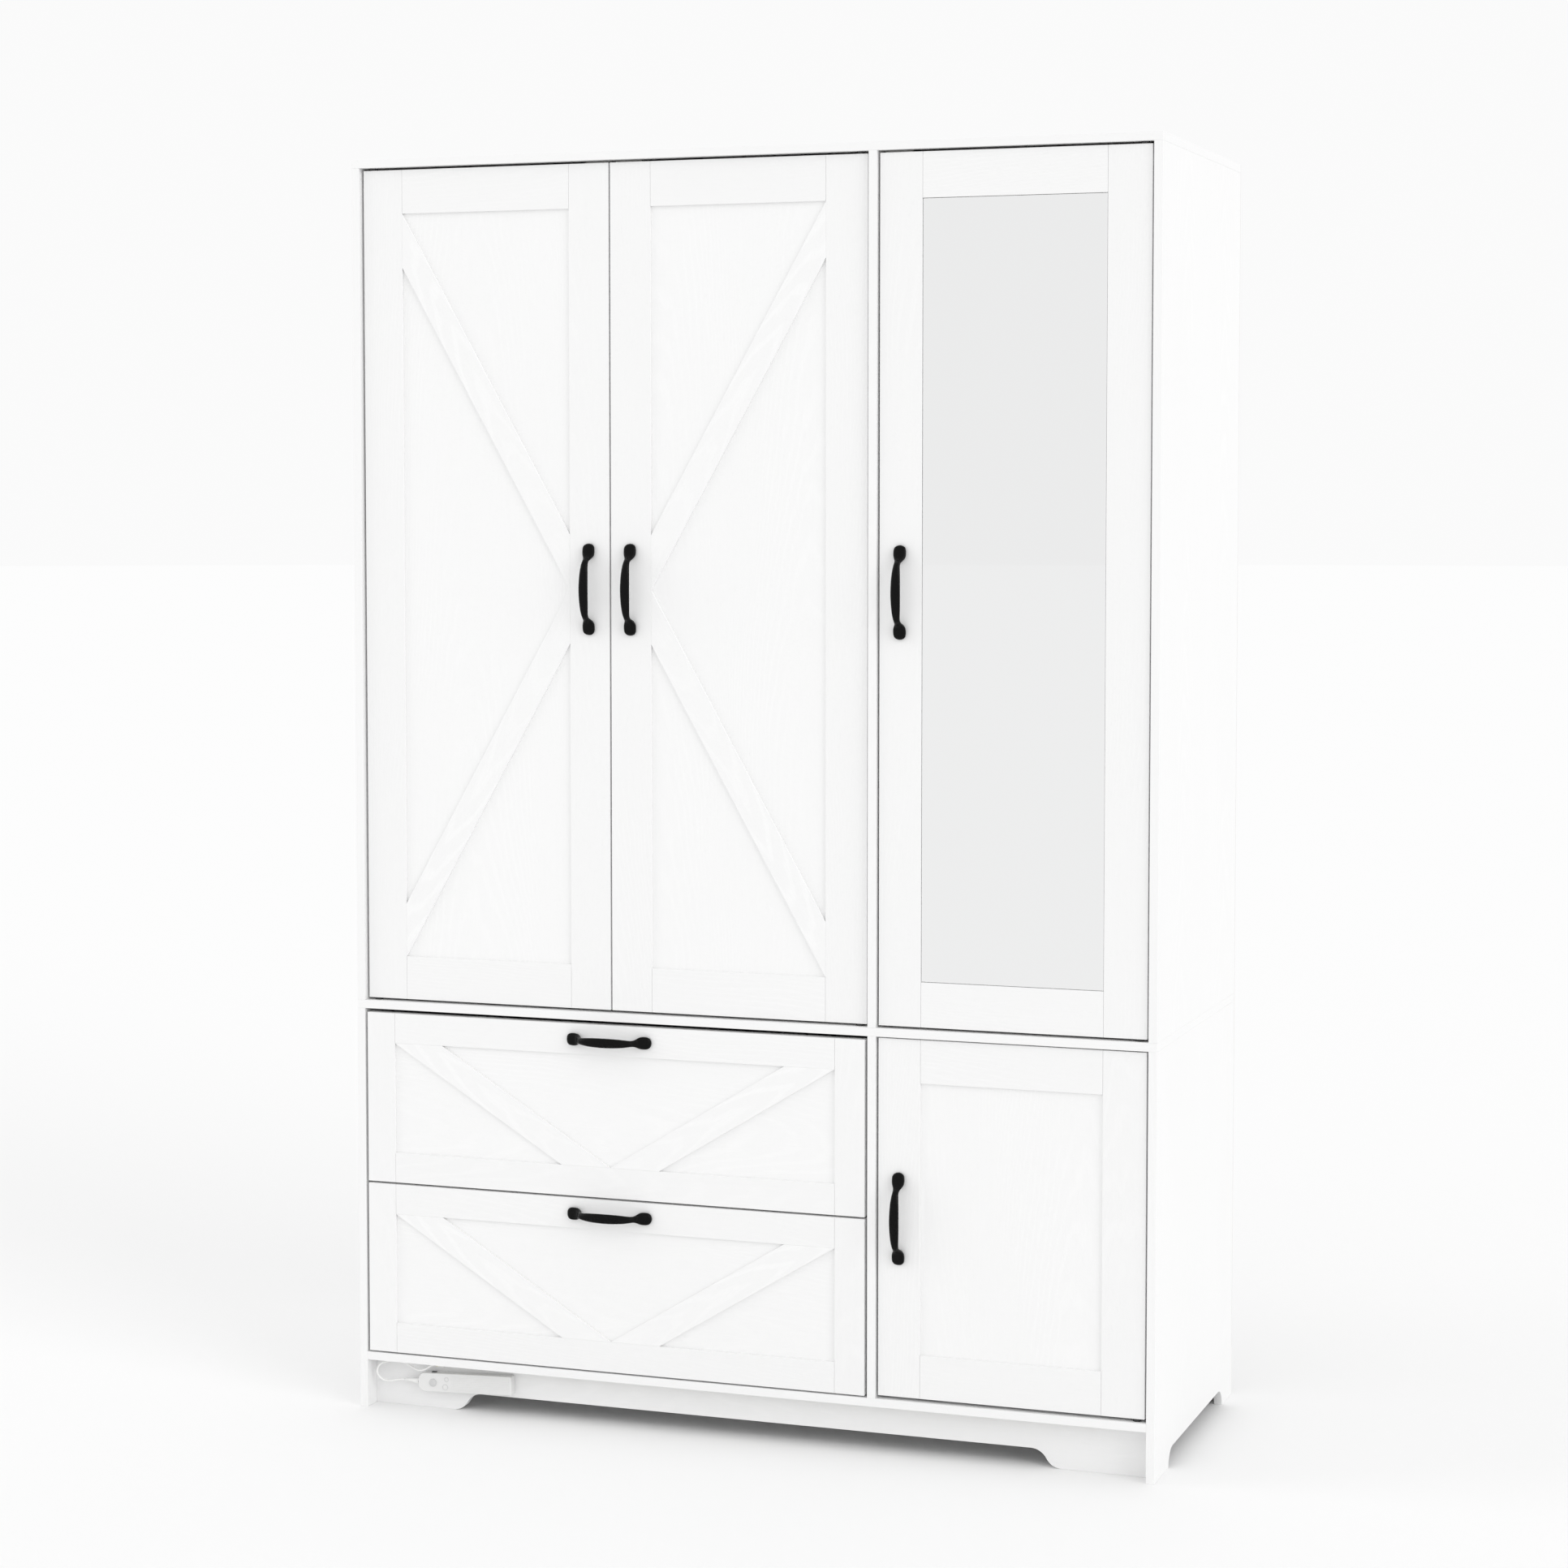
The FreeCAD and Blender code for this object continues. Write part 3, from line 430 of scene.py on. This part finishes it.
for front in FRONTS:
    pieces, (x0, x1, y0, y1, z0, z1) = frame_boards(front)
    if front in ("door_left", "door_right"):
        far, near = (x0, x1) if front == "door_left" else (x1, x0)
        middle = (z0 + z1) / 2
        for word, corner, way in (("upper", z1, 1), ("lower", z0, -1)):
            outline = [(far, corner), (near, middle + way * DOOR_BRACE_CUT),
                       (near, middle), (far, corner - way * DOOR_BRACE_CUT)]
            brace = brace_board(front + "_brace_" + word, outline, (y0, y1), front)
            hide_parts(front + "_brace")
    if front.startswith("drawer"):
        middle = (x0 + x1) / 2
        for word, corner, way in (("left", x0, 1), ("right", x1, -1)):
            outline = [(corner, z1), (corner + way * DRAWER_BRACE_CUT, z1),
                       (middle, z0), (middle - way * DRAWER_BRACE_CUT, z0)]
            pieces.append(brace_board(front + "_brace_" + word, outline, (y0, y1), front))
    for piece in pieces:
        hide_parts(front + "_frame")

BOX_BOARD = 12 * MM
BOX_ARRIS = 0.5 * MM
BOTTOM_LIFT = 13 * MM
for front in ("drawer_upper", "drawer_lower"):
    (x0, y0, z0), (x1, y1, z1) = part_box(front + "_box")
    t = BOX_BOARD
    for word, corners, way in (
            ("side_left", box_corners(x0, x0 + t, y0, y1, z0, z1), "y"),
            ("side_right", box_corners(x1 - t, x1, y0, y1, z0, z1), "y"),
            ("back", box_corners(x0 + t, x1 - t, y1 - t, y1, z0 + BOTTOM_LIFT, z1), "x")):
        piece = board(front + "_" + word, corners, front, INNER[way], BOX_ARRIS)
        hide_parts(front + "_box")


# ---- handles --------------------------------------------------------------------------------
# Half of a pull, from its outer end to its middle, in mm: distance from the middle, half width,
# underside and top above the door, and how square the section is.
PULL = (
    (65.0, 2.4, 0.8, 3.6, 2.2), (64.4, 4.6, 0.2, 5.0, 2.4), (63.0, 6.8, 0.0, 6.4, 2.7),
    (61.0, 8.2, 0.0, 7.3, 3.0), (58.5, 8.9, 0.0, 7.9, 3.1), (55.0, 9.1, 0.0, 8.4, 3.1),
    (51.5, 9.0, 0.0, 8.9, 3.1), (49.0, 8.5, 0.0, 9.7, 3.0), (47.0, 7.7, 0.0, 11.0, 2.8),
    (45.5, 6.8, 0.0, 12.8, 2.6), (44.3, 5.9, 0.4, 15.0, 2.5), (43.2, 5.2, 2.2, 17.2, 2.4),
    (42.0, 4.7, 5.8, 19.0, 2.3), (40.5, 4.4, 9.8, 20.7, 2.3), (38.5, 4.5, 12.9, 22.1, 2.3),
    (35.5, 4.9, 15.2, 23.4, 2.3), (31.0, 5.5, 17.0, 24.7, 2.3), (25.0, 6.1, 18.5, 25.8, 2.3),
    (17.0, 6.6, 19.8, 26.8, 2.3), (8.0, 6.9, 20.7, 27.6, 2.3), (0.0, 7.0, 21.0, 27.9, 2.3),
)
RING = 20                  # corners in each section
TIP = 0.35 * MM            # how far the ends bulge


def pull_mesh():
    """Cast arch pull along X, standing off towards -Y."""
    stations = list(PULL) + [(-s, *rest) for s, *rest in reversed(PULL[:-1])]
    shape = bmesh.new()
    rings = []
    for s, half, low, high, square in stations:
        ring = []
        for k in range(RING):
            angle = 2 * math.pi * k / RING
            c, n = math.cos(angle), math.sin(angle)
            across = half * math.copysign(abs(c) ** (2 / square), c)
            up = (high - low) / 2 * math.copysign(abs(n) ** (2 / square), n) + (high + low) / 2
            ring.append(shape.verts.new((s * MM, -up * MM, across * MM)))
        rings.append(ring)
    for a, b in zip(rings, rings[1:]):
        for k in range(RING):
            shape.faces.new((a[k], a[(k + 1) % RING], b[(k + 1) % RING], b[k]))
    for ring, order in ((rings[0], -1), (rings[-1], 1)):
        middle = sum((v.co for v in ring), Vector()) / RING
        tip = shape.verts.new(middle + Vector((-order * TIP, 0, 0)))
        for k in range(RING):
            face = (ring[k], ring[(k + 1) % RING], tip)
            shape.faces.new(face if order > 0 else face[::-1])
    bmesh.ops.recalc_face_normals(shape, faces=shape.faces)
    mesh = bpy.data.meshes.new("arch_pull")
    shape.to_mesh(mesh)
    shape.free()
    mesh.shade_smooth()
    return mesh


PULL_MESH = pull_mesh()
for front in FRONTS:
    low, high = (Vector(corner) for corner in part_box(front + "_handle"))
    pull = bpy.data.objects.new(front + "_pull", PULL_MESH.copy())
    bpy.context.collection.objects.link(pull)
    upright = high.z - low.z > high.x - low.x
    if upright:
        pull.rotation_euler = (0, math.radians(90), 0)
    pull.location = ((low.x + high.x) / 2, high.y, (low.z + high.z) / 2)
    smooth = pull.modifiers.new("smooth", "SUBSURF")
    smooth.levels = 2
    smooth.render_levels = 2
    paint(pull, BLACK)
    bpy.context.view_layer.update()
    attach(pull, front)
    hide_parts(front + "_handle")


# ---- motion-sensor light --------------------------------------------------------------------
def mesh_piece(name, shape, material, place=None, smooth=False):
    """A finished piece on the case."""
    bmesh.ops.recalc_face_normals(shape, faces=shape.faces)
    mesh = bpy.data.meshes.new(name)
    shape.to_mesh(mesh)
    shape.free()
    if smooth:
        mesh.shade_smooth()
    piece = bpy.data.objects.new(name, mesh)
    bpy.context.collection.objects.link(piece)
    if place is not None:
        piece.matrix_world = place
    paint(piece, material)
    bpy.context.view_layer.update()
    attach(piece, "case")
    return piece


def outline_plate(shape, outline, y_near, y_far):
    """Plate in X-Z with the outline given, between two depths."""
    near = [shape.verts.new((x, y_near, z)) for x, z in outline]
    far = [shape.verts.new((x, y_far, z)) for x, z in outline]
    shape.faces.new(near)
    shape.faces.new(far[::-1])
    count = len(outline)
    for k in range(count):
        m = (k + 1) % count
        shape.faces.new((near[m], near[k], far[k], far[m]))


def rounded_outline(x0, x1, z0, z1, left_radius, right_radius, steps=10):
    """Rectangle with its left and right corners rounded."""
    points = []
    for cx, cz, radius, start in (
            (x0 + left_radius, z0 + left_radius, left_radius, 180),
            (x1 - right_radius, z0 + right_radius, right_radius, 270),
            (x1 - right_radius, z1 - right_radius, right_radius, 0),
            (x0 + left_radius, z1 - left_radius, left_radius, 90)):
        for k in range(steps + 1):
            angle = math.radians(start + 90 * k / steps)
            points.append((cx + radius * math.cos(angle), cz + radius * math.sin(angle)))
    return points


SENSOR_TILT = math.radians(2.4)
SENSOR_LENGTH = 150 * MM
SENSOR_HEIGHT = 28 * MM
SENSOR_END = 11 * MM       # radius of its left corners
LENS_FROM_END = 24 * MM
lens_low, lens_high = (Vector(corner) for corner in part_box("sensor_lens"))
shell_low, shell_high = (Vector(corner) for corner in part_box("sensor_housing"))
lens_centre = (lens_low + lens_high) / 2
# local frame: X along the box from its left end, Z up from its middle, Y from its front face
origin = Vector((lens_centre.x, shell_low.y, lens_centre.z))
tilt = Matrix.Rotation(-SENSOR_TILT, 4, "Y")
sensor_place = (Matrix.Translation(origin) @ tilt
                @ Matrix.Translation(Vector((-LENS_FROM_END, 0, 0))))
depth = shell_high.y - shell_low.y

shape = bmesh.new()
outline_plate(shape, rounded_outline(0, SENSOR_LENGTH, -SENSOR_HEIGHT / 2, SENSOR_HEIGHT / 2,
                                     SENSOR_END, 2.5 * MM), 0, depth)
shell = mesh_piece("sensor_shell", shape, GLOSS, place=sensor_place)
soften(shell, 1.4 * MM, 4)
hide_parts("sensor_housing")

# ribs over the battery compartment
shape = bmesh.new()
RIBS = 9
RIB_HALF = 0.55 * MM
RIB_MARGIN = 3.4 * MM
RIB_LEFT, RIB_RIGHT = 53 * MM, 146.5 * MM
RIB_CORNER = 0.5 * MM
for k in range(RIBS):
    z = RIB_MARGIN - SENSOR_HEIGHT / 2 + k * (SENSOR_HEIGHT - 2 * RIB_MARGIN) / (RIBS - 1)
    outline_plate(shape, rounded_outline(RIB_LEFT, RIB_RIGHT, z - RIB_HALF, z + RIB_HALF,
                                         RIB_CORNER, RIB_CORNER, 4), -0.45 * MM, 0.3 * MM)
mesh_piece("sensor_ribs", shape, GLOSS, place=sensor_place)


def disc_stack(name, x, z, rings, material, smooth=True, segments=32):
    """Turned piece on the sensor's face: rings of (radius, height off the face), in mm."""
    shape = bmesh.new()
    loops = []
    for radius, height in rings:
        loops.append([shape.verts.new((x + radius * MM * math.cos(2 * math.pi * k / segments),
                                       -height * MM,
                                       z + radius * MM * math.sin(2 * math.pi * k / segments)))
                      for k in range(segments)])
    for a, b in zip(loops, loops[1:]):
        for k in range(segments):
            m = (k + 1) % segments
            shape.faces.new((a[k], a[m], b[m], b[k]))
    shape.faces.new(loops[-1])
    shape.faces.new(loops[0][::-1])
    return mesh_piece(name, shape, material, place=sensor_place, smooth=smooth)


LENS_RADIUS = 6.0
dome = [(LENS_RADIUS * math.cos(math.radians(a)), 0.2 + 2.2 * math.sin(math.radians(a)))
        for a in range(0, 86, 9)]
lens = disc_stack("sensor_dome", LENS_FROM_END, 0.0, [(LENS_RADIUS, -0.4)] + dome, LENS)
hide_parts("sensor_lens")
# two plain moulded rings, in the housing's white plastic painted a darker grey as painted shade for
# their outlines: distance from the box's end, height off its middle, radius
for number, (x, z, size) in enumerate(((46.0, 5.4, 3.6), (43.5, -6.2, 4.6))):
    rim = [(size, -0.3), (size, 0.35), (size - 0.25, 0.5), (size - 0.75, 0.5),
           (size - 1.0, 0.35), (size - 1.0, -0.3)]
    disc_stack("sensor_ring_%d" % (number + 1), x * MM, z * MM, rim, RING_PAINTED_SHADE,
               smooth=False)


# ---- cord ---------------------------------------------------------------------------------
plug_low, plug_high = (Vector(corner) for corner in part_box("cord_plug"))
plug_y = (plug_low.y + plug_high.y) / 2
plug_z = (plug_low.z + plug_high.z) / 2
case_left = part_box("top_panel")[0][0]
case_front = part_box("top_panel")[0][1]
strip_low, strip_high = (Vector(corner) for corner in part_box("light_strip"))


def route(x, y, z):
    """A point in mm from the case's left face, its front and the floor."""
    return Vector((case_left + x * MM, case_front + y * MM, z * MM))


ROUTE = [
    Vector((plug_low.x, plug_y, plug_z)),
    Vector((case_left + 50 * MM, plug_y - 1.0 * MM, plug_z - 0.6 * MM)),
    route(38, 18.5, 35.8), route(27, 14.0, 39.6), route(20.8, 11.5, 49.5),
    route(23.5, 11.5, 60.5), route(34, 13.5, 67.0), route(50, 15.5, 68.2),
    route(66, 16.5, 67.4), route(78, 16.0, 60.4), route(90, 15.5, 56.6),
    route(101, 15.7, 61.2), route(109, 16.0, 67.4),
    Vector((strip_low.x, (strip_low.y + strip_high.y) / 2, strip_low.z + 2.1 * MM)),
]
CORD_DIAMETER = 3 * MM
curve = bpy.data.curves.new("sensor_cord", "CURVE")
curve.dimensions = "3D"
curve.bevel_depth = CORD_DIAMETER / 2
curve.bevel_resolution = 6
curve.resolution_u = 16
curve.use_fill_caps = True
spline = curve.splines.new("NURBS")
spline.points.add(len(ROUTE) - 1)
for point, at in zip(spline.points, ROUTE):
    point.co = (*at, 1)
spline.order_u = 3
spline.use_endpoint_u = True
cord = bpy.data.objects.new("sensor_cord", curve)
bpy.context.collection.objects.link(cord)
paint(cord, PVC)
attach(cord, "case")
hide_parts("cord")


BLACK_RING = 0.045          # share of the plug's length that is its black ring


def plug_piece():
    """Tapered white plug with grip rings and a black collar where it enters the box."""
    shape = bmesh.new()
    right = plug_high.x
    length = plug_high.x - plug_low.x
    profile = [(0.0, 3.9), (BLACK_RING, 3.9), (0.065, 4.0), (0.16, 4.0), (0.2, 3.8), (0.36, 3.6)]
    for k in range(5):
        start = 0.4 + k * 0.09
        radius = 3.4 - 0.24 * k
        profile += [(start, radius), (start + 0.02, radius - 0.45),
                    (start + 0.05, radius - 0.45), (start + 0.07, radius - 0.06)]
    profile += [(0.9, 2.15), (1.0, 1.75)]
    loops = []
    segments = 28
    for share, radius in profile:
        loops.append([shape.verts.new((right - share * length,
                                       plug_y + radius * MM * math.cos(2 * math.pi * k / segments),
                                       plug_z + radius * MM * math.sin(2 * math.pi * k / segments)))
                      for k in range(segments)])
    for a, b in zip(loops, loops[1:]):
        for k in range(segments):
            m = (k + 1) % segments
            shape.faces.new((a[k], b[k], b[m], a[m]))
    shape.faces.new(loops[0])
    shape.faces.new(loops[-1][::-1])
    piece = mesh_piece("sensor_plug", shape, PVC, smooth=True)
    piece.data.materials.append(BLACK_PLASTIC)
    for face in piece.data.polygons:
        if face.center.x > right - BLACK_RING * length:
            face.material_index = 1
    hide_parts("cord_plug")
    return piece


plug = plug_piece()


# ---- nails in the backs -------------------------------------------------------------------
NAIL_PITCH = 120 * MM
NAIL = ((3.2, -0.2), (3.2, 0.15), (2.6, 0.45), (1.2, 0.6))      # radius, height off the back
NAIL_SIDES = 12


def nail_heads():
    """Flat round heads along the backs' edges and on both sides of the middle panel."""
    low, high = (Vector(corner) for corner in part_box("back_panels"))
    middle = (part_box("middle_panel")[0][2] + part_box("middle_panel")[1][2]) / 2
    edge = 6 * MM
    spots = []

    def run(x0, z0, x1, z1):
        count = max(2, round(math.hypot(x1 - x0, z1 - z0) / NAIL_PITCH) + 1)
        for k in range(count):
            t = k / (count - 1)
            spots.append((x0 + (x1 - x0) * t, z0 + (z1 - z0) * t))

    divider = (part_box("upper_divider")[0][0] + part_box("upper_divider")[1][0]) / 2
    for x in (low.x + edge, divider, high.x - edge):
        run(x, middle + 14 * MM, x, high.z - edge)
        run(x, low.z + edge, x, middle - 14 * MM)
    for z in (low.z + edge, middle - 4 * MM, middle + 4 * MM, high.z - edge):
        run(low.x + 60 * MM, z, high.x - 60 * MM, z)
    shape = bmesh.new()
    for x, z in spots:
        rings = []
        for radius, off in NAIL:
            rings.append([shape.verts.new((
                x + radius * MM * math.cos(2 * math.pi * k / NAIL_SIDES),
                high.y + off * MM,
                z + radius * MM * math.sin(2 * math.pi * k / NAIL_SIDES)))
                for k in range(NAIL_SIDES)])
        for a, b in zip(rings, rings[1:]):
            for k in range(NAIL_SIDES):
                m = (k + 1) % NAIL_SIDES
                shape.faces.new((a[k], a[m], b[m], b[k]))
        shape.faces.new(rings[-1])
        shape.faces.new(rings[0][::-1])
    return mesh_piece("back_nails", shape, ZINC, smooth=True)


nail_heads()


# ---- floor, light and camera --------------------------------------------------------------
def floor():
    """Plain pale floor reaching far past the picture's edges."""
    shape = bmesh.new()
    bmesh.ops.create_circle(shape, cap_ends=True, radius=60.0, segments=96)
    mesh = bpy.data.meshes.new("studio_floor")
    shape.to_mesh(mesh)
    shape.free()
    piece = bpy.data.objects.new("studio_floor", mesh)
    bpy.context.collection.objects.link(piece)
    s = Shader("studio_floor")
    cloud = s.noise(s.place(), 0.8, 2.0)
    s.surface(Base_Color=s.blend(cloud, (0.91, 0.91, 0.91), (0.906, 0.906, 0.906)))
    s.bsdf.inputs["Roughness"].default_value = 1.0
    s.bsdf.inputs["Specular IOR Level"].default_value = 0.0
    paint(piece, s.material)


floor()
SKY = 0.96
world = bpy.data.worlds.new("studio")
bpy.context.scene.world = world
world.use_nodes = True
world.node_tree.nodes["Background"].inputs["Color"].default_value = (1, 1, 1, 1)
world.node_tree.nodes["Background"].inputs["Strength"].default_value = SKY


def soft_sun(name, energy, way):
    """Wide soft light from far away, shining along `way`."""
    sun = bpy.data.lights.new(name, "SUN")
    sun.energy = energy
    sun.angle = math.radians(35)
    lamp = bpy.data.objects.new(name, sun)
    lamp.rotation_euler = Vector(way).to_track_quat("-Z", "Y").to_euler()
    bpy.context.collection.objects.link(lamp)


soft_sun("key", 0.63, (-0.83, 0.42, -0.37))
soft_sun("fill", 0.40, (0.90, 0.25, -0.36))

EYE = (1.6465, -4.6949, 1.348)
EYE_DOWN = 3.44             # degrees below level
EYE_LEFT = 19.53            # degrees left of straight on
camera = bpy.data.cameras.new("camera")
camera.lens = 77.94
camera.sensor_width = 36.0
camera.shift_y = -0.055
camera.clip_end = 200.0
eye = bpy.data.objects.new("camera", camera)
eye.location = EYE
eye.rotation_euler = (math.radians(90 - EYE_DOWN), 0, math.radians(EYE_LEFT))
bpy.context.collection.objects.link(eye)
bpy.context.scene.camera = eye
bpy.context.scene.view_settings.view_transform = "Standard"
bpy.context.scene.view_settings.look = "None"

bpy.context.view_layer.update()
